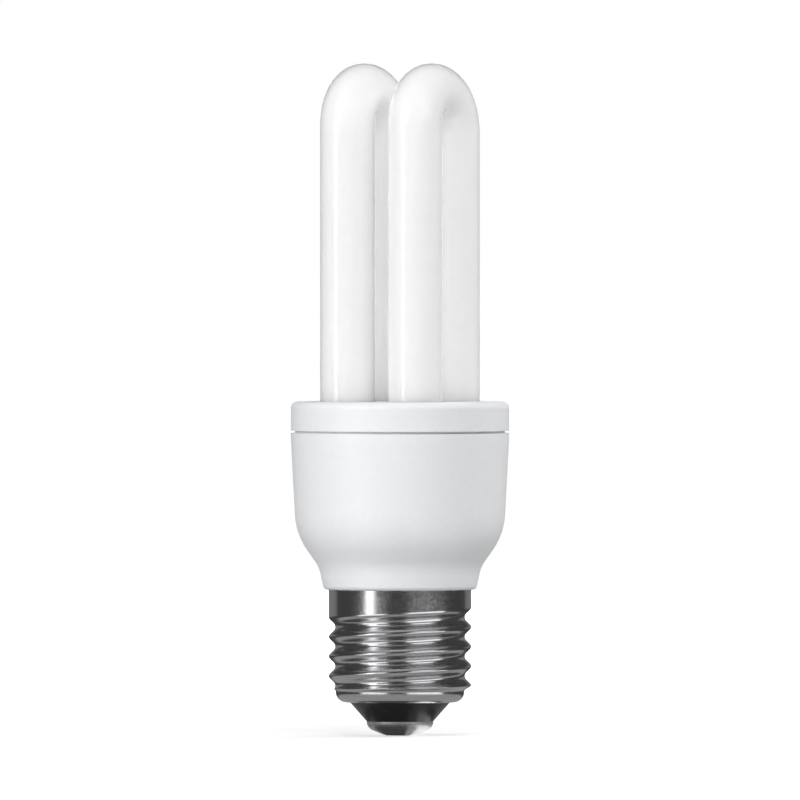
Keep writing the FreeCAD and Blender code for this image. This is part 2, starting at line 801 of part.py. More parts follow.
# Filter choke: a drum core and its winding
drum_x = "-(coupling_length / 2 + part_gap + drum_radius)"
drum = body("drum")
drum_low = "board_under - drum_height"
revolve(drum, "drum_shape", [
    (0, drum_low),
    ("drum_radius", drum_low),
    ("drum_radius", drum_low + " + drum_flange"),
    ("drum_neck", drum_low + " + drum_flange"),
    ("drum_neck", "board_under - drum_flange"),
    ("drum_radius", "board_under - drum_flange"),
    ("drum_radius", "board_under"),
    (0, "board_under"),
])
put(drum, drum_x, coupling_y, "0")
drum_legs = []
for side in (-1, 1):
    drum_legs.append(lead(f"drum_{side + 1}", f"{drum_x} + {side} * drum_pitch / 2", coupling_y,
                          "board_under - lead_root"))
node("filter_choke", fuse("drum_all", [drum] + drum_legs))
wound_foot = (drum_x, coupling_y, drum_low + " + drum_flange")
wound_height = "drum_height - 2 * drum_flange"
wound = cylinder("drum_wound", "drum_radius - winding_fit", wound_height, *wound_foot)
wound_bore = cylinder("drum_bore", "drum_neck", wound_height, *wound_foot)
node("filter_winding", cut("drum_winding", wound, wound_bore))

# Axial parts in rows along the front, and the fuse resistor behind, each clear of the ribs
front_clear = "can_radius + part_gap + 2 * transistor_radius"
row_x = "transistor_radius + part_gap + diode_pitch / 2 + lead_radius"
row_y = "choke_width / 2 + part_gap + diode_radius"
for number, (side, row) in enumerate([(i, j) for i in (-1, 1) for j in (0, 1)], start=1):
    axial(f"rectifier_diode_{number}", "diode_radius", "diode_length", "diode_pitch", f"{side} * ({row_x})",
          f"-({row_y} + {row} * diode_row)")
resistor_y = f"{front_clear} + part_gap + resistor_radius"
axial("base_resistor_1", "resistor_radius", "resistor_length", "resistor_pitch", "0", f"-({resistor_y})")
axial("base_resistor_2", "resistor_radius", "resistor_length", "resistor_pitch", ring_x,
      "ring_radius + ring_wire + part_gap + resistor_radius")
axial("trigger_diode", "trigger_radius", "trigger_length", "trigger_pitch", "0",
      "-(rib_bore - part_gap / 2 - trigger_radius)")
axial("fuse_resistor", "fuse_radius", "fuse_length", "fuse_pitch", "0",
      "rib_bore - part_gap / 2 - fuse_radius")

# Wrap pins on the board's top, and the filament leads wound on them
pin_items = []
for side, name in ((-1, "left"), (1, "right")):
    for place in (-1, 1):
        label = f"{name}_{'front' if place < 0 else 'rear'}"
        x = f"{side} * pin_across"
        y = f"{place} * pin_apart / 2"
        HOLES.append(cylinder(label + "_pin_hole", "pin_radius", "3 * board_thickness", x, y,
                              "board_under - board_thickness"))
        pin_items.append(cylinder(label + "_pin", "pin_radius", "board_thickness + pin_height", x, y,
                                  "board_under"))
        level = "leg_bottom - tube_radius - pinch_reach - 2 * filament_radius"
        start_x = f"{side} * (half_spacing - {place} * filament_apart / 2)"
        run_x = f"({side} * pin_across - ({start_x}))"
        run_y = f"({y} + half_spacing)"
        run_length = f"sqrt({run_x} ^ 2 + {run_y} ^ 2)"
        strands = [
            cylinder(label + "_drop", "filament_radius", "2 * filament_radius", start_x, "-half_spacing",
                     level),
            ball(label + "_knee", "filament_radius", start_x, "-half_spacing", level),
        ]
        across = cylinder(label + "_run", "filament_radius", f"{run_length} - pin_radius - filament_radius",
                          start_x, "-half_spacing", level)
        doc.recompute()
        dx = side * size("pin_across") - side * (size("half_spacing") - place * size("filament_apart") / 2)
        dy = place * size("pin_apart") / 2 + size("half_spacing")
        across.Placement.Rotation = FreeCAD.Rotation(V(0, 0, 1), V(dx, dy, 0))
        strands.append(across)
        for lap in range(WRAP_TURNS):
            strands.append(bend(f"{label}_wrap_{lap}", "pin_radius + filament_radius", "filament_radius",
                                x, y, f"{level} + {lap} * wrap_pitch", TURNS["z"], 360))
        node(f"filament_lead_{label}", fuse(label + "_lead_all", strands))
node("wrap_pins", group("pins", pin_items))

# Wires down to the base, each in an upright plane through the axis


def wire_turn(angle, first, second):
    """A rotation that lays a bend in the plane at an angle, from one direction to the next."""
    spin = FreeCAD.Rotation(V(0, 0, 1), angle)
    start = spin.multVec(first)
    onward = spin.multVec(second)
    return FreeCAD.Rotation(start, onward, start.cross(onward), "XYZ")


def in_plane(angle, reach):
    return f"({reach}) * cos({angle})", f"({reach}) * sin({angle})"


def along(angle):
    """A rotation that lays a cylinder outwards at an angle."""
    spin = FreeCAD.Rotation(V(0, 0, 1), angle)
    return FreeCAD.Rotation(V(0, 0, 1), spin.multVec(V(1, 0, 0)))


contact_angle = size("contact_wire_angle")
contact_far = in_plane("contact_wire_angle", "contact_wire_reach")
contact_knee = in_plane("contact_wire_angle", "contact_wire_reach - wire_bend")
contact_heel = in_plane("contact_wire_angle", "wire_bend")
node("contact_wire", fuse("contact_wire_all", [
    cylinder("contact_wire_down", "wire_radius", "board_under - contact_wire_cross - wire_bend",
             *contact_far, "contact_wire_cross + wire_bend"),
    bend("contact_wire_knee", "wire_bend", "wire_radius", *contact_knee,
         "contact_wire_cross + wire_bend", wire_turn(contact_angle, V(1, 0, 0), V(0, 0, -1))),
    cylinder("contact_wire_over", "wire_radius", "contact_wire_reach - 2 * wire_bend",
             *contact_heel, "contact_wire_cross", along(contact_angle)),
    bend("contact_wire_heel", "wire_bend", "wire_radius", *contact_heel,
         "contact_wire_cross - wire_bend", wire_turn(contact_angle, V(0, 0, 1), V(-1, 0, 0))),
    cylinder("contact_wire_end", "wire_radius", "contact_wire_cross - wire_bend - plug_top - eyelet_head",
             "0", "0", "plug_top + eyelet_head"),
]))

shell_angle = size("shell_wire_angle")
shell_far = in_plane("shell_wire_angle", "shell_wire_reach")
shell_knee = in_plane("shell_wire_angle", "shell_wire_reach + wire_bend")
node("shell_wire", fuse("shell_wire_all", [
    cylinder("shell_wire_down", "wire_radius", f"board_under - ({wire_hole_height}) - wire_bend",
             *shell_far, wire_hole_height + " + wire_bend"),
    bend("shell_wire_knee", "wire_bend", "wire_radius", *shell_knee,
         wire_hole_height + " + wire_bend", wire_turn(shell_angle, V(-1, 0, 0), V(0, 0, -1))),
    cylinder("shell_wire_end", "wire_radius",
             "root_radius - shell_wall - shell_wire_touch - shell_wire_reach - wire_bend",
             *shell_knee, wire_hole_height, along(shell_angle)),
]))

# Circuit board, resting on the ribs, with a hole for every lead and pin
bore_at_board = "body_radius - housing_wall - draft * (board_drop + board_thickness - rim_band)"
disc = cylinder("disc", bore_at_board + " - board_fit", "board_thickness", "0", "0", "board_under")
node("circuit_board", cut("board_all", disc, group("board_holes", HOLES)))
node("solder_joints", group("joints", JOINTS))

doc.recompute()

# Check every object, then write one file for each node
faults = [item.Name for item in doc.Objects if "Invalid" in item.State or "Error" in item.State]
for label, item in NODES.items():
    if item.Shape.isNull() or not item.Shape.isValid() or not item.Shape.Solids:
        faults.append(label)
if faults:
    raise RuntimeError("not sound: " + ", ".join(faults))
os.makedirs("parts", exist_ok=True)
for label, item in NODES.items():
    item.Shape.exportStep(f"parts/{label}.step")
print(len(NODES), "nodes written")
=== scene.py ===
# %% [markdown]
# # A compact fluorescent lamp
#
# Two U shaped tubes of coated glass stand in a white plastic housing, over a screw base of plated metal.
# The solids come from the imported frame, at their real size and place. This script dresses them: it gives
# every surface its finish, makes the screw shell again with the soft thread of rolled sheet, and lights
# the lamp as a catalogue picture. The lamp's own lengths are written in millimetres and turned into metres
# with MM, and the lengths of the studio are in metres.

import json
import math

import bmesh
import bpy
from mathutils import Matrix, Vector


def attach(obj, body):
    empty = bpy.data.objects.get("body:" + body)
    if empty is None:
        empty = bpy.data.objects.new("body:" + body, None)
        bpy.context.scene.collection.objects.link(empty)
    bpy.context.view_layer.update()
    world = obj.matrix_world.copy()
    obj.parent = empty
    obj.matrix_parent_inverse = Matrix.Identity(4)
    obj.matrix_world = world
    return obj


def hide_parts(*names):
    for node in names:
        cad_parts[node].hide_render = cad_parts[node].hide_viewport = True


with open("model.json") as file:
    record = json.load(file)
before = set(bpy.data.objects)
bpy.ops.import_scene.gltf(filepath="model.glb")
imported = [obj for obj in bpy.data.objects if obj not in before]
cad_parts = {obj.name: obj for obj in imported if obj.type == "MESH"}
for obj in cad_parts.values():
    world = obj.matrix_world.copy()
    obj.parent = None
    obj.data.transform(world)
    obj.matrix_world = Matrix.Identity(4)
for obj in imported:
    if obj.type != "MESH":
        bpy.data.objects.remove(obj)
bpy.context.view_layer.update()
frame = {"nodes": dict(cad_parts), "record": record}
nodes = frame["nodes"]
MM = 0.001

# %% [markdown]
# ## The camera
#
# The picture is nearly a parallel view: front and rear legs look equally thick. An orthographic camera
# would give that, but a long lens from far away keeps the trace of perspective that a real picture has.
# The lamp is turned by about 29 degrees, so each U shows its front leg and part of its rear one.

# %% Camera
AZIMUTH = math.radians(29.1)
ELEVATION = math.radians(0.65)
DISTANCE = 5.0
IMAGE_PIXELS = 800
PIXELS_PER_MM = 5.41
AIM_HEIGHT = 62.1 * MM

scene = bpy.context.scene
scene.view_settings.view_transform = "Standard"


def around(angle, distance, height):
    """A point round the lamp, at an angle in degrees to the right of the camera's side."""
    turn = AZIMUTH + math.radians(angle)
    return Vector((math.sin(turn) * distance, -math.cos(turn) * distance, height))


aim = Vector((0, 0, AIM_HEIGHT))
camera = bpy.data.objects.new("camera", bpy.data.cameras.new("camera"))
scene.collection.objects.link(camera)
camera.location = aim + around(0, DISTANCE * math.cos(ELEVATION), DISTANCE * math.sin(ELEVATION))
camera.rotation_euler = (aim - camera.location).to_track_quat("-Z", "Y").to_euler()
camera.data.lens = camera.data.sensor_width * DISTANCE / (IMAGE_PIXELS / PIXELS_PER_MM * MM)
scene.camera = camera
print("lens", round(camera.data.lens), "mm")

# %% [markdown]
# ## Node trees
#
# A finish is a Principled BSDF. What is the same all over it is set straight on its sockets, and a few
# nodes make what changes over the surface. Nodes can be placed by hand in the editor. In a script, a helper
# that adds one and sets its inputs keeps each tree short, and an effect that several finishes share is a
# node group, so it is made once.

# %% Node helpers


def add_node(tree, kind, operation=None, **inputs):
    """Add a node and set its inputs by name, with underscores for spaces."""
    made = tree.nodes.new(kind)
    if operation:
        made.operation = operation
    for name, value in inputs.items():
        made.inputs[name.replace("_", " ")].default_value = value
    return made


def new_group(name, inputs, outputs):
    """An empty shader node group with float sockets, and its two end nodes."""
    made = bpy.data.node_groups.new(name, "ShaderNodeTree")
    for label, value in inputs.items():
        socket = made.interface.new_socket(label, in_out="INPUT", socket_type="NodeSocketFloat")
        socket.default_value = value
    for label in outputs:
        made.interface.new_socket(label, in_out="OUTPUT", socket_type="NodeSocketFloat")
    return made, made.nodes.new("NodeGroupInput"), made.nodes.new("NodeGroupOutput")


print("node helpers ready")

# %% [markdown]
# ## Clouds of tone
#
# No real surface has one flat colour: plastic, powder and metal all vary a little from spot to spot. A
# picture of a surface could be wrapped round each piece, but noise over the object's own coordinates needs
# no unwrapping. Two groups put out a Tone from Low to High, and a Height for a bump:
#
# - Soft Mottle, a fine cloud, for moulded, sprayed and coated surfaces
# - Turned Marks, a cloud squashed into rings round the axis, for turned and rolled metal

# %% Cloud groups
EVEN = (1.0, 1.0, 1.0)
IN_RINGS = (0.04, 0.04, 1.0)
NOISE_ROUGHNESS = 0.55
NOISE_LOW = 0.3
NOISE_HIGH = 0.7


def cloud_group(name, stretch, detail):
    """Noise over the object's own coordinates, stretched along some of its axes."""
    group, start, finish = new_group(name, {"Scale": 500.0, "Low": 0.0, "High": 1.0}, ("Tone", "Height"))
    place = group.nodes.new("ShaderNodeTexCoord")
    squash = add_node(group, "ShaderNodeMapping", Scale=stretch)
    noise = add_node(group, "ShaderNodeTexNoise", Detail=detail, Roughness=NOISE_ROUGHNESS)
    spread = add_node(group, "ShaderNodeMapRange", From_Min=NOISE_LOW, From_Max=NOISE_HIGH)
    group.links.new(place.outputs["Object"], squash.inputs["Vector"])
    group.links.new(squash.outputs["Vector"], noise.inputs["Vector"])
    group.links.new(start.outputs["Scale"], noise.inputs["Scale"])
    group.links.new(noise.outputs["Fac"], spread.inputs["Value"])
    group.links.new(start.outputs["Low"], spread.inputs["To Min"])
    group.links.new(start.outputs["High"], spread.inputs["To Max"])
    group.links.new(spread.outputs["Result"], finish.inputs["Tone"])
    group.links.new(noise.outputs["Fac"], finish.inputs["Height"])
    return group


mottle = cloud_group("Soft Mottle", EVEN, 4.0)
marks = cloud_group("Turned Marks", IN_RINGS, 3.0)
print("node groups:", mottle.name, marks.name)

# %% [markdown]
# ## How a finish is put together
#
# The helpers below are the few steps that every finish shares: start a material, use a group, mix two
# colours by a value, and turn a height into a bump of a real depth.

# %% Finish helpers


def new_finish(name, **constants):
    """A material, its node tree and its shader, with constant numbers on the shader's sockets."""
    made = bpy.data.materials.new(name)
    made.use_nodes = True
    shader = made.node_tree.nodes["Principled BSDF"]
    for label, value in constants.items():
        shader.inputs[label.replace("_", " ")].default_value = value
    return made, made.node_tree, shader


def use_group(tree, group, **inputs):
    """Add a shared group to a tree and set its inputs by name."""
    made = tree.nodes.new("ShaderNodeGroup")
    made.node_tree = group
    for label, value in inputs.items():
        made.inputs[label.replace("_", " ")].default_value = value
    return made


def mix_colours(tree, value, first, second):
    """The output of a colour mix; each colour is a tuple or another output."""
    mix = tree.nodes.new("ShaderNodeMix")
    mix.data_type = "RGBA"
    tree.links.new(value, mix.inputs["Factor"])
    for socket, colour in ((mix.inputs["A"], first), (mix.inputs["B"], second)):
        if isinstance(colour, tuple):
            socket.default_value = (*colour, 1)
        else:
            tree.links.new(colour, socket)
    return mix.outputs["Result"]


def bump(tree, shader, height, depth):
    """A bump of a depth in millimetres."""
    made = add_node(tree, "ShaderNodeBump", Strength=1.0, Distance=depth * MM)
    tree.links.new(height, made.inputs["Height"])
    tree.links.new(made.outputs["Normal"], shader.inputs["Normal"])


print("finish helpers ready")

# %% [markdown]
# ## The common recipe
#
# Most finishes here have one cloud that moves the colour and the bump together: the tone varies at random,
# and each dip of the bump is also painted a little darker, as painted shade. A coarser cloud moves the
# roughness. Each could be a tree of its own. As a function, the recipe takes the scale, two colours, the
# range of the roughness and the depth in millimetres, and a finish is a few lines long.

# %% Cloudy finish
COARSER = 3


def cloudy_finish(name, group, scale, dark, light, rough, depth, **constants):
    """A finish whose colour and bump follow one cloud, with painted shade in each dip, and its roughness a
    coarser one.
    """
    made, tree, shader = new_finish(name, **constants)
    cloud = use_group(tree, group, Scale=scale)
    # The colour is darker where the bump dips: painted shade in the dips, over a random tone.
    colour = mix_colours(tree, cloud.outputs["Tone"], dark, light)
    tree.links.new(colour, shader.inputs["Base Color"])
    gloss = use_group(tree, mottle, Scale=scale / COARSER, Low=rough[0], High=rough[1])
    tree.links.new(gloss.outputs["Tone"], shader.inputs["Roughness"])
    bump(tree, shader, cloud.outputs["Height"], depth)
    return made


print("recipe for cloudy finishes ready")

# %% [markdown]
# ## Coated glass
#
# The tubes are clear glass with a white powder on the inside. The powder scatters light through the wall
# and lets it out some way off, so a leg that stands in the shade of another still glows. A milky glass
# would do that, but it renders slowly. Here the powder is the base with full Subsurface, and the
# glass over it is a smooth Coat, which gives the crisp streak of light down each leg.

# %% Coated glass
coated_glass = cloudy_finish(
    "coated_glass", mottle, 400.0, (0.943, 0.943, 0.952), (0.963, 0.963, 0.972), (0.45, 0.55), 0.002,
    Coat_Weight=1.0, Coat_Roughness=0.06, Coat_IOR=1.5,
    Subsurface_Weight=1.0, Subsurface_Scale=10 * MM, Subsurface_Radius=(1.0, 1.0, 1.0))
print("finish", coated_glass.name)

# %% [markdown]
# ## White plastic
#
# The cover and the housing are moulded in a heat resistant plastic with a satin skin. The mould is spark
# eroded, so its grain is far finer than a millimetre. In the mesh it would take millions of faces, so it is
# a bump, 4 thousandths of a millimetre deep. What shows of it is a soft highlight without a hard edge.

# %% White plastic
white_plastic = cloudy_finish(
    "white_plastic", mottle, 900.0, (0.857, 0.865, 0.877), (0.882, 0.89, 0.902), (0.36, 0.46), 0.004)
print("finish", white_plastic.name)

# %% [markdown]
# ## Plated metal
#
# The shell is brass or steel sheet with a bright nickel plating. Rolling leaves fine marks that run round
# it. An Anisotropic shader could stretch its highlights, yet it needs tangents that follow the thread, so
# the marks are drawn as rings of tone and bump instead. The contact is tinned with solder, which is duller.

# %% Plated metal
plated_shell = cloudy_finish(
    "plated_shell", marks, 5000.0, (0.60, 0.60, 0.61), (0.68, 0.68, 0.69), (0.17, 0.27), 0.002,
    Metallic=1.0)
contact_metal = cloudy_finish(
    "contact_metal", marks, 2500.0, (0.58, 0.58, 0.58), (0.70, 0.70, 0.69), (0.4, 0.52), 0.006,
    Metallic=1.0)
print("finishes", plated_shell.name, contact_metal.name)

# %% [markdown]
# ## Black glass
#
# The insulator is dark glass, pressed into the shell while hot. A shader that lets light through would do,
# but none comes out of glass this dark. So it is a nearly black base, slightly wavy from the press, and its
# reflections are dim and soft.

# %% Black glass
black_glass = cloudy_finish(
    "black_glass", mottle, 600.0, (0.016, 0.015, 0.015), (0.024, 0.023, 0.023), (0.25, 0.35), 0.003)
print("finish", black_glass.name)

# %% [markdown]
# ## Plain finishes inside the housing
#
# The ballast is out of sight, yet each of its parts has the finish of the real one. These are the ones
# that are the same all over: chalky cement round the legs, brown laminate for the board, grey ferrite, a
# black bobbin, the red sleeve of the wires, tinned pins and shiny solder. One recipe does for all of them,
# with a deep bump for the cement and a fine one for the sleeve.

# %% Plain inner finishes
cement = cloudy_finish(
    "cement", mottle, 1500.0, (0.70, 0.69, 0.64), (0.82, 0.81, 0.77), (0.7, 0.9), 0.06)
board = cloudy_finish(
    "board", mottle, 700.0, (0.30, 0.20, 0.09), (0.42, 0.29, 0.14), (0.45, 0.6), 0.01)
ferrite = cloudy_finish(
    "ferrite", mottle, 1800.0, (0.055, 0.055, 0.06), (0.10, 0.10, 0.105), (0.5, 0.7), 0.015)
bobbin = cloudy_finish(
    "bobbin", mottle, 900.0, (0.025, 0.025, 0.025), (0.045, 0.045, 0.045), (0.4, 0.5), 0.01)
wire_sleeve = cloudy_finish(
    "wire_sleeve", mottle, 600.0, (0.50, 0.03, 0.02), (0.62, 0.05, 0.04), (0.3, 0.4), 0.004)
tinned_metal = cloudy_finish(
    "tinned_metal", mottle, 2500.0, (0.62, 0.62, 0.61), (0.74, 0.74, 0.73), (0.24, 0.38), 0.004,
    Metallic=1.0)
solder = cloudy_finish(
    "solder", mottle, 2000.0, (0.60, 0.60, 0.61), (0.75, 0.75, 0.76), (0.2, 0.35), 0.02, Metallic=1.0)
print("plain inner finishes made")

# %% [markdown]
# ## Wound wire
#
# A winding is hundreds of turns of lacquered copper. Its solid is one block. The turns could be modelled,
# but at a third of a millimetre they are a texture: a Wave texture in bands up the block gives a ridge for
# each turn, and the same wave paints shade into the gap between two turns. At a scale of 1 its bands are a
# tenth of pi apart. The lacquer is a thin Coat.

# %% Wound wire
WIRE = 0.3
BAND_WIDTH = math.pi / 10

enamel_wire, tree, shader = new_finish("enamel_wire", Metallic=1.0, Coat_Weight=0.6, Coat_Roughness=0.15)
place = tree.nodes.new("ShaderNodeTexCoord")
turns = add_node(tree, "ShaderNodeTexWave", Scale=BAND_WIDTH / (WIRE * MM), Distortion=0.4)
turns.bands_direction = "Z"
smears = use_group(tree, mottle, Scale=800.0, Low=0.28, High=0.42)
# The copper colour is painted darker in the gaps between turns and lighter on the ridges: painted shade.
copper_and_gap_shade = mix_colours(tree, turns.outputs["Fac"], (0.30, 0.11, 0.04), (0.72, 0.34, 0.15))
tree.links.new(place.outputs["Object"], turns.inputs["Vector"])
tree.links.new(smears.outputs["Tone"], shader.inputs["Roughness"])
tree.links.new(copper_and_gap_shade, shader.inputs["Base Color"])
bump(tree, shader, turns.outputs["Fac"], WIRE / 4)
print("finish", enamel_wire.name)

# %% [markdown]
# ## Components with leads
#
# A capacitor or a resistor is one solid with its leads, so one finish has to cover both. Two materials on
# chosen faces would do, but a mask needs no list of faces. The group Lead Ends is that mask: it is 1 past
# the body's share of the part's length, or above its share of the height, and 0 on the body.

# %% Lead ends


def lead_group():
    """1 where a part of the board is bare wire: past its body lengthwise, or above it."""
    inputs = {"Body Length": 1.0, "Body Height": 1.0}
    group, start, finish = new_group("Lead Ends", inputs, ("Tone",))
    place = group.nodes.new("ShaderNodeTexCoord")
    axes = group.nodes.new("ShaderNodeSeparateXYZ")
    centred = add_node(group, "ShaderNodeMath", "SUBTRACT")
    centred.inputs[1].default_value = 0.5
    across = add_node(group, "ShaderNodeMath", "ABSOLUTE")
    doubled = add_node(group, "ShaderNodeMath", "MULTIPLY")
    doubled.inputs[1].default_value = 2.0
    past = add_node(group, "ShaderNodeMath", "GREATER_THAN")
    above = add_node(group, "ShaderNodeMath", "GREATER_THAN")
    either = add_node(group, "ShaderNodeMath", "MAXIMUM")
    group.links.new(place.outputs["Generated"], axes.inputs["Vector"])
    group.links.new(axes.outputs["X"], centred.inputs[0])
    group.links.new(centred.outputs["Value"], across.inputs[0])
    group.links.new(across.outputs["Value"], doubled.inputs[0])
    group.links.new(doubled.outputs["Value"], past.inputs[0])
    group.links.new(start.outputs["Body Length"], past.inputs[1])
    group.links.new(axes.outputs["Z"], above.inputs[0])
    group.links.new(start.outputs["Body Height"], above.inputs[1])
    group.links.new(past.outputs["Value"], either.inputs[0])
    group.links.new(above.outputs["Value"], either.inputs[1])
    group.links.new(either.outputs["Value"], finish.inputs["Tone"])
    return group


leads = lead_group()
print("node group:", leads.name)

# %% [markdown]
# ## Coats, rings and tinned wire
#
# The bodies are dipped or moulded, and their coat has a fine grain. Resistors and diodes also carry painted
# rings. These could be drawn in an image, but a ring is only a band of colour at a share of the length.
# Past the body, the mask turns the same finish into tinned wire.

# %% Leaded finish
TINNED = (0.70, 0.70, 0.69)
TINNED_ROUGHNESS = 0.3
COAT_GRAIN = 1200.0
COAT_DEPTH = 0.01


def painted_rings(tree, colour, bands):
    """Lay rings over a colour; each has its middle and width as shares of the length, and its paint."""
    place = tree.nodes.new("ShaderNodeTexCoord")
    axes = tree.nodes.new("ShaderNodeSeparateXYZ")
    tree.links.new(place.outputs["Generated"], axes.inputs["Vector"])
    for middle, width, paint in bands:
        ring = add_node(tree, "ShaderNodeMath", "COMPARE")
        ring.inputs[1].default_value = middle
        ring.inputs[2].default_value = width / 2
        tree.links.new(axes.outputs["X"], ring.inputs[0])
        colour = mix_colours(tree, ring.outputs["Value"], colour, paint)
    return colour


def leaded_finish(name, dark, light, roughness, body_length=1.0, body_height=1.0, bands=()):
    """A coated body with tinned leads; its length and height are shares of the whole part."""
    made, tree, shader = new_finish(name)
    cloud = use_group(tree, mottle, Scale=COAT_GRAIN)
    ends = use_group(tree, leads, Body_Length=body_length, Body_Height=body_height)
    body = mix_colours(tree, cloud.outputs["Tone"], dark, light)
    ringed = painted_rings(tree, body, bands)
    colour = mix_colours(tree, ends.outputs["Tone"], ringed, TINNED)
    gloss = add_node(tree, "ShaderNodeMapRange", To_Min=roughness, To_Max=TINNED_ROUGHNESS)
    tree.links.new(ends.outputs["Tone"], gloss.inputs["Value"])
    tree.links.new(colour, shader.inputs["Base Color"])
    tree.links.new(ends.outputs["Tone"], shader.inputs["Metallic"])
    tree.links.new(gloss.outputs["Result"], shader.inputs["Roughness"])
    bump(tree, shader, cloud.outputs["Height"], COAT_DEPTH)
    return made


print("recipe for parts with leads ready")

# %% [markdown]
# ## The components' own colours
#
# Hanging parts have their leads above the body, and lying parts at both ends. Film capacitors are dipped in
# brown resin, the large capacitor has a dark sleeve, transistors and diodes are black epoxy, and the
# resistors are beige with colour rings. The trigger diode is a bead of blue glass. One recipe covers them
# all, with the body's share of the length or of the height as its value.

# %% Component finishes
BROWN = (0.10, 0.04, 0.02)
RED = (0.45, 0.04, 0.03)
GOLD = (0.50, 0.36, 0.12)
SILVER = (0.55, 0.55, 0.54)
RESISTOR_RINGS = [(0.36, 0.05, BROWN), (0.46, 0.05, RED), (0.56, 0.05, BROWN), (0.66, 0.05, GOLD)]
FUSE_RINGS = [(0.28, 0.04, BROWN), (0.36, 0.04, RED), (0.44, 0.04, GOLD)]
CATHODE_RING = [(0.3, 0.07, SILVER)]

can_sleeve = leaded_finish(
    "can_sleeve", (0.010, 0.012, 0.02), (0.02, 0.022, 0.035), 0.25, body_height=0.92)
film_coat = leaded_finish(
    "film_coat", (0.30, 0.06, 0.02), (0.40, 0.09, 0.03), 0.22, body_height=0.86)
transistor_case = leaded_finish(
    "transistor_case", (0.016, 0.016, 0.016), (0.03, 0.03, 0.03), 0.5, body_height=0.63)
drum_ferrite = leaded_finish(
    "drum_ferrite", (0.055, 0.055, 0.06), (0.10, 0.10, 0.105), 0.6, body_height=0.85)
diode_case = leaded_finish(
    "diode_case", (0.016, 0.016, 0.016), (0.03, 0.03, 0.03), 0.4, body_length=0.6, bands=CATHODE_RING)
resistor_coat = leaded_finish(
    "resistor_coat", (0.45, 0.34, 0.20), (0.55, 0.43, 0.27), 0.4, body_length=0.51, bands=RESISTOR_RINGS)
fuse_coat = leaded_finish(
    "fuse_coat", (0.42, 0.43, 0.40), (0.50, 0.51, 0.48), 0.5, body_length=0.66, bands=FUSE_RINGS)
diode_glass = leaded_finish(
    "diode_glass", (0.05, 0.10, 0.30), (0.07, 0.14, 0.38), 0.15, body_length=0.57)
print("component finishes made")

# %% [markdown]
# ## Dressing the nodes
#
# Each node names its material slot in the record. The nodes could be dressed one by one, but a table by
# slot is shorter and misses none. A few nodes of a shared slot differ in the length of their leads or in
# their coat, so they are listed by name.

# %% Dress the nodes
SLOT_FINISHES = {
    "coated_glass": coated_glass, "white_plastic": white_plastic, "plated_shell": plated_shell,
    "black_glass": black_glass, "contact_metal": contact_metal, "cement": cement, "board": board,
    "can_sleeve": can_sleeve, "ferrite": ferrite, "bobbin": bobbin, "enamel_wire": enamel_wire,
    "moulded_case": diode_case, "film_coat": film_coat, "resistor_coat": resistor_coat,
    "diode_glass": diode_glass, "tinned_metal": tinned_metal, "solder": solder, "wire_sleeve": wire_sleeve,
}
NODE_FINISHES = {
    "transistor_1": transistor_case, "transistor_2": transistor_case,
    "filter_choke": drum_ferrite, "fuse_resistor": fuse_coat,
}
for subpart in frame["record"]["subparts"]:
    name = subpart["node"]
    slots = nodes[name].data.materials
    slots.clear()
    slots.append(NODE_FINISHES.get(name, SLOT_FINISHES[subpart["material_slot"]]))

# %% [markdown]
# ## The rolled screw shell
#
# A screw base is rolled: a thin cup of metal is squeezed between two wheels, so both its faces carry the
# thread. Its roots are round and its crests narrow, with a soft tip. Cutting that form from solids takes
# long, while a mesh can follow it exactly: the wall is one long ribbon of faces that climbs with the helix,
# so every crest runs along a row of vertices and stays clean. Rows that climb past the ends of the threaded
# wall are held at its edge and merged. Below it, a turned corner and a flange close the cup round the
# insulator.

# %% Shell sizes
PITCH = 3.62
THREAD_TURNS = 5.0
THREAD_START = 4.17
THREAD_ANGLE = math.radians(60)
RUN_OUT_TURNS = 0.28
CREST_RADIUS = 13.2
GROOVE_DEPTH = 1.2
FLANK_SLOPE = math.radians(49)
CREST_SOFTNESS = 0.45
FOOT_RADIUS = 11.9
FOOT_CORNER = 2.0
FOOT_TOP = 8.3
TAPER_TOP = 9.4
RIM_HEIGHT = 6.2
RIM_RADIUS = 9.3
SHELL_TOP = 27.1
SHELL_WALL = 0.35
COLUMNS = 192
ROWS_PER_PITCH = 24
CORNER_STEPS = 10

half_pitch = PITCH / 2
foot_end = RIM_HEIGHT + FOOT_CORNER
scoop_depth = math.sqrt((GROOVE_DEPTH + CREST_SOFTNESS) ** 2 - CREST_SOFTNESS ** 2)
root_curve = (half_pitch * math.tan(FLANK_SLOPE) - scoop_depth) / (1 / math.cos(FLANK_SLOPE) - 1)
root_half = root_curve * math.sin(FLANK_SLOPE)
print("the roots are rounded to", round(root_curve, 2), "mm")

# %% [markdown]
# ## The form of the thread
#
# The form is a radius for every place on the wall. A groove is a round root between straight flanks. The
# flanks of neighbouring grooves meet in a sharp crest, and a square root of squares rounds it off. At the
# top the groove fades out over a part of a turn, and at the foot the blank narrows, so the crest fades.

# %% Thread form


def ease(value, low, high):
    """A smooth step from 0 to 1 between two heights."""
    part = min(max((value - low) / (high - low), 0.0), 1.0)
    return part * part * (3 - 2 * part)


def groove_scoop(offset):
    """Depth of the groove beside its middle: a round root between straight flanks."""
    if offset < root_half:
        return scoop_depth - root_curve + math.sqrt(root_curve ** 2 - offset ** 2)
    return (half_pitch - offset) * math.tan(FLANK_SLOPE)


def shell_radius(turn, offset, height):
    """Radius at a turn of the groove, beside its middle by an offset; the last groove runs out."""
    blank = FOOT_RADIUS + (CREST_RADIUS - FOOT_RADIUS) * ease(height, FOOT_TOP, TAPER_TOP)
    lift = scoop_depth * max(turn - THREAD_TURNS, 0.0) / RUN_OUT_TURNS
    cut = max(groove_scoop(abs(offset)) - lift, 0.0)
    softened = math.hypot(cut, CREST_SOFTNESS) - CREST_SOFTNESS
    return min(blank, CREST_RADIUS - softened)


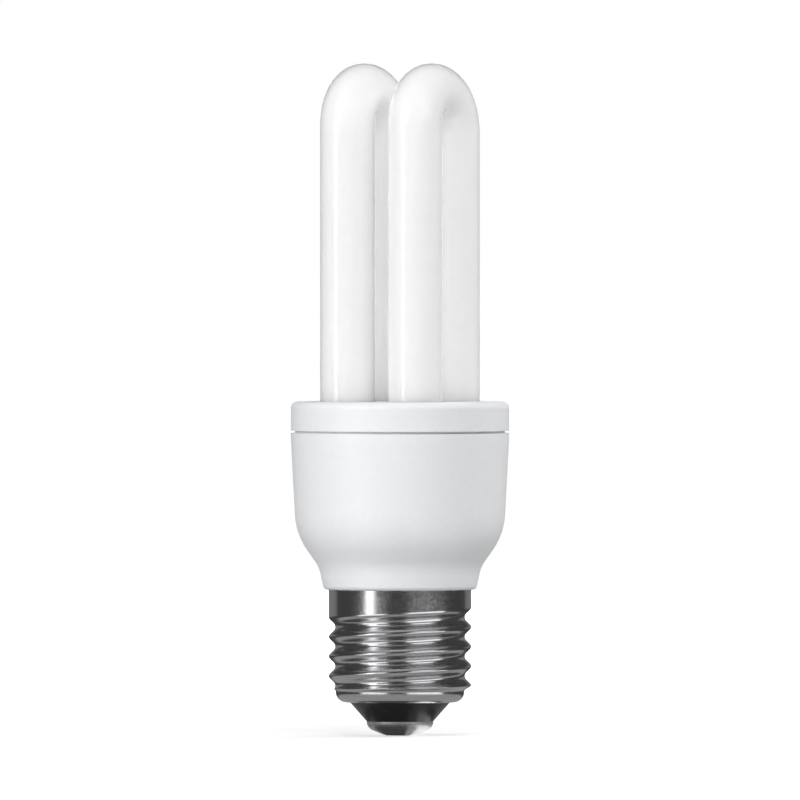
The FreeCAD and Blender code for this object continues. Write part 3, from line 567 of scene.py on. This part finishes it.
def shell_point(angle, radius, height):
    """A point of the shell in metres, with the angle counted from the start of the thread."""
    turn = angle + THREAD_ANGLE
    return (radius * math.cos(turn) * MM, radius * math.sin(turn) * MM, height * MM)


def ribbon_point(step, row):
    """A vertex of the climbing ribbon, with its height held inside the threaded wall."""
    turn = step / COLUMNS
    offset = row * PITCH / ROWS_PER_PITCH
    height = min(max(THREAD_START + PITCH * turn + offset, foot_end), SHELL_TOP)
    if offset > half_pitch:
        turn += 1
        offset -= PITCH
    return shell_point(2 * math.pi * step / COLUMNS, shell_radius(turn, offset, height), height)


root_radius = shell_radius(1, 0, SHELL_TOP)
crest_radius = shell_radius(1, half_pitch, SHELL_TOP)
print("radius at a root", round(root_radius, 2), "mm and at a crest", round(crest_radius, 2), "mm")

# %% [markdown]
# ## The sheet of the shell
#
# A Screw modifier could wind a profile, but its ends would stay open steps. So the faces are made in BMesh,
# strip by strip. The foot shares its first ring with the wall, and merging by distance sews the two
# together and closes the rows that were held at an edge.

# %% Wall and foot


def threaded_wall(sheet):
    """Strips of faces between the steps of the ribbon, from below the foot to past the top."""
    steps = COLUMNS * math.ceil((SHELL_TOP - THREAD_START) / PITCH)
    grid = []
    for step in range(steps + 1):
        grid.append([sheet.verts.new(ribbon_point(step, row)) for row in range(ROWS_PER_PITCH + 1)])
    for step in range(steps):
        for row in range(ROWS_PER_PITCH):
            corners = (grid[step][row], grid[step + 1][row], grid[step + 1][row + 1], grid[step][row + 1])
            sheet.faces.new(corners)


def turned_foot(sheet):
    """The rounded corner below the thread and the flange that holds the insulator."""
    outline = []
    for step in range(CORNER_STEPS + 1):
        bend = math.pi / 2 * step / CORNER_STEPS
        radius = FOOT_RADIUS - FOOT_CORNER * (1 - math.cos(bend))
        outline.append((radius, foot_end - FOOT_CORNER * math.sin(bend)))
    outline.append((RIM_RADIUS, RIM_HEIGHT))
    angles = [2 * math.pi * column / COLUMNS for column in range(COLUMNS)]
    rings = []
    for radius, height in outline:
        rings.append([sheet.verts.new(shell_point(angle, radius, height)) for angle in angles])
    for upper, lower in zip(rings, rings[1:]):
        for column in range(COLUMNS):
            following = (column + 1) % COLUMNS
            sheet.faces.new((lower[column], lower[following], upper[following], upper[column]))


sheet = bmesh.new()
threaded_wall(sheet)
turned_foot(sheet)
print("sheet:", len(sheet.faces), "faces before sewing")

# %% Sew the sheet
MERGE_DISTANCE = 0.001 * MM

bmesh.ops.remove_doubles(sheet, verts=sheet.verts, dist=MERGE_DISTANCE)
bmesh.ops.dissolve_degenerate(sheet, edges=sheet.edges, dist=MERGE_DISTANCE)
bmesh.ops.recalc_face_normals(sheet, faces=sheet.faces)
for face in sheet.faces:
    face.smooth = True
shell_mesh = bpy.data.meshes.new("screw_shell_rolled")
sheet.to_mesh(shell_mesh)
sheet.free()
shell_mesh.materials.append(plated_shell)
print("sewn sheet:", len(shell_mesh.polygons), "faces on one side")

# %% [markdown]
# ## The shell in its place
#
# The sheet becomes an object. A second sheet could be made for its inner face, but Solidify does that, and
# with its offset at -1 the wall grows inward and the outer face stays as it was made. The shell is parented
# to the lamp's body, and the loaded shell is hidden, so this one takes its place.

# %% Screw shell
shell = bpy.data.objects.new("screw_shell_rolled", shell_mesh)
scene.collection.objects.link(shell)
wall = shell.modifiers.new("wall", "SOLIDIFY")
wall.thickness = SHELL_WALL * MM
wall.offset = -1
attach(shell, "root")
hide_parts("screw_shell")
print("screw shell in place, wall", SHELL_WALL, "mm")

# %% [markdown]
# ## The studio lamps
#
# White plastic shows its form by soft light from a side, and plated metal shows it by what it mirrors. One
# set of lamps could serve both, but then each change for the metal would change the plastic. So there are
# two kinds: room lamps light matt surfaces and stay out of reflections, and soft boxes are mirrored and
# light nothing matt. A room lamp's level is the brightness of a white wall facing it.

# %% Room lamps
LAMP_DISTANCE = 1.4


def room_lamp(name, angle, lift, size, level):
    """A soft lamp at an angle round the bulb and a lift above it, in degrees."""
    light = bpy.data.lights.new(name, "AREA")
    light.size = size
    light.energy = level * (math.pi * LAMP_DISTANCE) ** 2
    rise = math.radians(lift)
    made = bpy.data.objects.new(name, light)
    made.location = aim + around(angle, LAMP_DISTANCE * math.cos(rise), LAMP_DISTANCE * math.sin(rise))
    made.rotation_euler = (aim - made.location).to_track_quat("-Z", "Y").to_euler()
    made.visible_glossy = False
    scene.collection.objects.link(made)


# Angle and lift in degrees, size in metres, and the level.
room_lamp("key", -58, 18, 0.8, 0.50)
room_lamp("front", -2, 36, 0.3, 0.28)
room_lamp("right", 30, 48, 0.8, 0.28)
room_lamp("rim", 120, 25, 0.8, 0.52)
room_lamp("back", 180, 15, 0.8, 0.45)
print("room lamps set")

# %% [markdown]
# ## Soft boxes
#
# The streaks down the glass and the light bands on the metal are mirrored boxes of light. They could be
# panels that glow, but area lamps give less noise. A box has its brightness as its glow. A narrow strip
# gives the crisp streak, and two tall windows above it give the light on the bends.

# %% Soft boxes
WINDOW_FOOT = 0.45
WINDOW_TOP = 1.4


def soft_box(name, angle, distance, low, high, wide, glow):
    """An upright soft box between two heights, facing the lamp."""
    light = bpy.data.lights.new(name, "AREA")
    light.shape = "RECTANGLE"
    light.size = wide
    light.size_y = high - low
    light.energy = glow * math.pi * wide * (high - low)
    made = bpy.data.objects.new(name, light)
    made.location = around(angle, distance, (low + high) / 2)
    made.rotation_euler = around(angle, -1, 0).to_track_quat("-Z", "Y").to_euler()
    made.visible_diffuse = False
    scene.collection.objects.link(made)


# Angle in degrees, distance, lower and upper edge and width in metres, and the glow.
soft_box("strip", -51, 1.3, 0.0, WINDOW_FOOT, 0.30, 3.4)
soft_box("window_left", -42, 1.5, WINDOW_FOOT, WINDOW_TOP, 1.0, 1.2)
soft_box("window_right", 42, 1.5, WINDOW_FOOT, WINDOW_TOP, 1.2, 1.4)
soft_box("dim_right", 42, 1.4, 0.0, WINDOW_FOOT, 0.65, 0.07)
print("soft boxes set")

# %% [markdown]
# ## The dark cards
#
# In an all-white room plated metal turns white. A photographer stands black and grey cards round it, out of
# the picture, and leaves gaps where a highlight should run. A card could be matt, but then the lamps would
# change its tone. Here it is a plain emission, so its tone is the one that is written.

# %% Card finishes


def card_finish(name, tone):
    """A card of one tone, from 0 for black to 1 for white."""
    made = bpy.data.materials.new(name)
    made.use_nodes = True
    tree = made.node_tree
    tree.nodes.clear()
    glow = add_node(tree, "ShaderNodeEmission", Color=(1, 1, 1, 1), Strength=tone)
    out = tree.nodes.new("ShaderNodeOutputMaterial")
    tree.links.new(glow.outputs["Emission"], out.inputs["Surface"])
    return made


dark_card = card_finish("dark_card", 0.06)
dim_card = card_finish("dim_card", 0.23)
grey_card = card_finish("grey_card", 0.35)
print("cards:", dark_card.name, dim_card.name, grey_card.name)

# %% [markdown]
# ## The shapes of the cards
#
# A ring of flat boards would do in a studio, but their corners would show in the metal. These cards are
# strips swept round the lamp, as parts of a dome and as mats just above the floor, and only reflections
# see them.

# %% Card shapes
DOME_RADIUS = 2.0
MAT_HEIGHT = 0.0001
DEGREES_PER_STEP = 10


def card(name, finish, rings, first=-180, last=180):
    """A card swept round the lamp from one angle to another, through rings of radius and height."""
    steps = math.ceil((last - first) / DEGREES_PER_STEP)
    points = []
    for radius, height in rings:
        for step in range(steps + 1):
            points.append(around(first + (last - first) * step / steps, radius, height))
    faces = []
    for ring in range(len(rings) - 1):
        for step in range(steps):
            corner = ring * (steps + 1) + step
            faces.append((corner, corner + 1, corner + steps + 2, corner + steps + 1))
    mesh = bpy.data.meshes.new(name)
    mesh.from_pydata(points, [], faces)
    mesh.materials.append(finish)
    made = bpy.data.objects.new(name, mesh)
    scene.collection.objects.link(made)
    made.visible_camera = False
    made.visible_diffuse = False
    made.visible_shadow = False


def dome(low, high, count):
    """Rings of a dome between two lifts above the floor, in degrees."""
    lifts = [math.radians(low + (high - low) * ring / count) for ring in range(count + 1)]
    return [(DOME_RADIUS * math.cos(lift), DOME_RADIUS * math.sin(lift)) for lift in lifts]


def mat(inner, outer):
    """Two rings just above the floor."""
    return [(inner, MAT_HEIGHT), (outer, MAT_HEIGHT)]


print("cards on a dome of", DOME_RADIUS, "m")

# %% [markdown]
# ## Where the cards stand
#
# The wall and the ceiling keep the metal dark. Behind the lamp the wall is lighter, which gives the collar
# its paler edges. The gaps in the mats give the lens shaped highlights on the thread, and the small mats
# under the base shade the contact and the flange. Angles are in degrees.

# %% Set the cards
WALL_LEFT = -124
WALL_RIGHT = 131
WALL_LIFT = 15
CEILING_LIFT = 50
CONTACT_EDGE = 0.0085
INSULATOR_EDGE = 0.0105
NEAR_EDGE = 0.04
FAR_EDGE = 0.2

card("wall", dark_card, dome(0, WALL_LIFT, 2), WALL_LEFT, WALL_RIGHT)
card("wall_back", dim_card, dome(0, WALL_LIFT, 2), WALL_RIGHT, WALL_LEFT + 360)
card("ceiling", dark_card, dome(WALL_LIFT, CEILING_LIFT, 5))
card("zenith", grey_card, dome(CEILING_LIFT, 90, 5))
card("mat_contact_front", dark_card, mat(0, CONTACT_EDGE), -70, 18)
card("mat_contact_right", grey_card, mat(0, CONTACT_EDGE), 18, 42)
card("mat_contact_left", grey_card, mat(0, CONTACT_EDGE), -180, -70)
card("mat_insulator", dark_card, mat(CONTACT_EDGE, INSULATOR_EDGE), -300, 30)
card("mat_insulator_right", grey_card, mat(CONTACT_EDGE, INSULATOR_EDGE), 30, 60)
card("mat_base", grey_card, mat(INSULATOR_EDGE, NEAR_EDGE))
card("mat_near_middle", dark_card, mat(NEAR_EDGE, FAR_EDGE), -22, 12)
card("mat_near_back", dark_card, mat(NEAR_EDGE, FAR_EDGE), 74, 294)
card("mat_far_right", dark_card, mat(FAR_EDGE, DOME_RADIUS), -40, WALL_RIGHT)
card("mat_far_back", dim_card, mat(FAR_EDGE, DOME_RADIUS), WALL_RIGHT, WALL_LEFT + 360)
card("mat_far_left", dark_card, mat(FAR_EDGE, DOME_RADIUS), WALL_LEFT, -54)
print("cards set")

# %% [markdown]
# ## The white room
#
# The picture has a white ground. A bright world would give that, but it would also flatten every form. With
# the Light Path node, the room is white to the camera and to reflections, and gives matt surfaces only a
# low even light, so that the lamps keep the modelling.

# %% White room
ROOM_LIGHT = 0.18


def sees_white(tree):
    """1 for camera, glossy and transmission rays, which see the white room."""
    paths = tree.nodes.new("ShaderNodeLightPath")
    value = paths.outputs["Is Camera Ray"]
    for label in ("Is Glossy Ray", "Is Transmission Ray"):
        larger = add_node(tree, "ShaderNodeMath", "MAXIMUM")
        tree.links.new(value, larger.inputs[0])
        tree.links.new(paths.outputs[label], larger.inputs[1])
        value = larger.outputs["Value"]
    return value


world = bpy.data.worlds.new("studio")
scene.world = world
world.use_nodes = True
tree = world.node_tree
tree.nodes.clear()
room = add_node(tree, "ShaderNodeBackground", Color=(1, 1, 1, 1), Strength=ROOM_LIGHT)
white = add_node(tree, "ShaderNodeBackground", Color=(1, 1, 1, 1), Strength=1.0)
choose = tree.nodes.new("ShaderNodeMixShader")
out = tree.nodes.new("ShaderNodeOutputWorld")
tree.links.new(sees_white(tree), choose.inputs["Fac"])
tree.links.new(room.outputs["Background"], choose.inputs[1])
tree.links.new(white.outputs["Background"], choose.inputs[2])
tree.links.new(choose.outputs["Shader"], out.inputs["Surface"])
print("room light", ROOM_LIGHT)

# %% [markdown]
# ## The paper floor
#
# The lamp stands on pale paper. Its lit surface alone would end in a grey horizon, so it also glows in the
# rays that see the white room. Under a strong glow the lamp's shadow would be lost. So, to the camera, the
# glow is low near the lamp, where the lit paper makes up for it, and rises further out.

# %% Paper finish
PAPER = (0.6, 0.6, 0.6, 1)
FLOOR_GLOW = 0.9
SHADE_GLOW = 0.48
SHADE_NEAR = 0.1
SHADE_FAR = 0.35

paper_floor = bpy.data.materials.new("paper_floor")
paper_floor.use_nodes = True
tree = paper_floor.node_tree
tree.nodes.clear()
paper = add_node(tree, "ShaderNodeBsdfDiffuse", Color=PAPER)
glow = add_node(tree, "ShaderNodeEmission", Color=(1, 1, 1, 1))
place = tree.nodes.new("ShaderNodeTexCoord")
reach = add_node(tree, "ShaderNodeVectorMath", "LENGTH")
fade = add_node(
    tree, "ShaderNodeMapRange",
    From_Min=SHADE_NEAR, From_Max=SHADE_FAR, To_Min=SHADE_GLOW, To_Max=FLOOR_GLOW)
paths = tree.nodes.new("ShaderNodeLightPath")
level = add_node(tree, "ShaderNodeMix", A=FLOOR_GLOW)
share = add_node(tree, "ShaderNodeMath", "MULTIPLY")
both = tree.nodes.new("ShaderNodeAddShader")
out = tree.nodes.new("ShaderNodeOutputMaterial")
tree.links.new(place.outputs["Object"], reach.inputs[0])
tree.links.new(reach.outputs["Value"], fade.inputs["Value"])
tree.links.new(paths.outputs["Is Camera Ray"], level.inputs["Factor"])
tree.links.new(fade.outputs["Result"], level.inputs["B"])
tree.links.new(sees_white(tree), share.inputs[0])
tree.links.new(level.outputs["Result"], share.inputs[1])
tree.links.new(share.outputs["Value"], glow.inputs["Strength"])
tree.links.new(paper.outputs["BSDF"], both.inputs[0])
tree.links.new(glow.outputs["Emission"], both.inputs[1])
tree.links.new(both.outputs["Shader"], out.inputs["Surface"])
print("finish", paper_floor.name)

# %% Floor
FLOOR_HALF = 12.0

corners = [(x, y, 0) for x, y in ((-1, -1), (1, -1), (1, 1), (-1, 1))]
floor_mesh = bpy.data.meshes.new("floor")
floor_mesh.from_pydata([Vector(corner) * FLOOR_HALF for corner in corners], [], [(0, 1, 2, 3)])
floor_mesh.materials.append(paper_floor)
floor = bpy.data.objects.new("floor", floor_mesh)
scene.collection.objects.link(floor)
print("floor", 2 * FLOOR_HALF, "m wide")
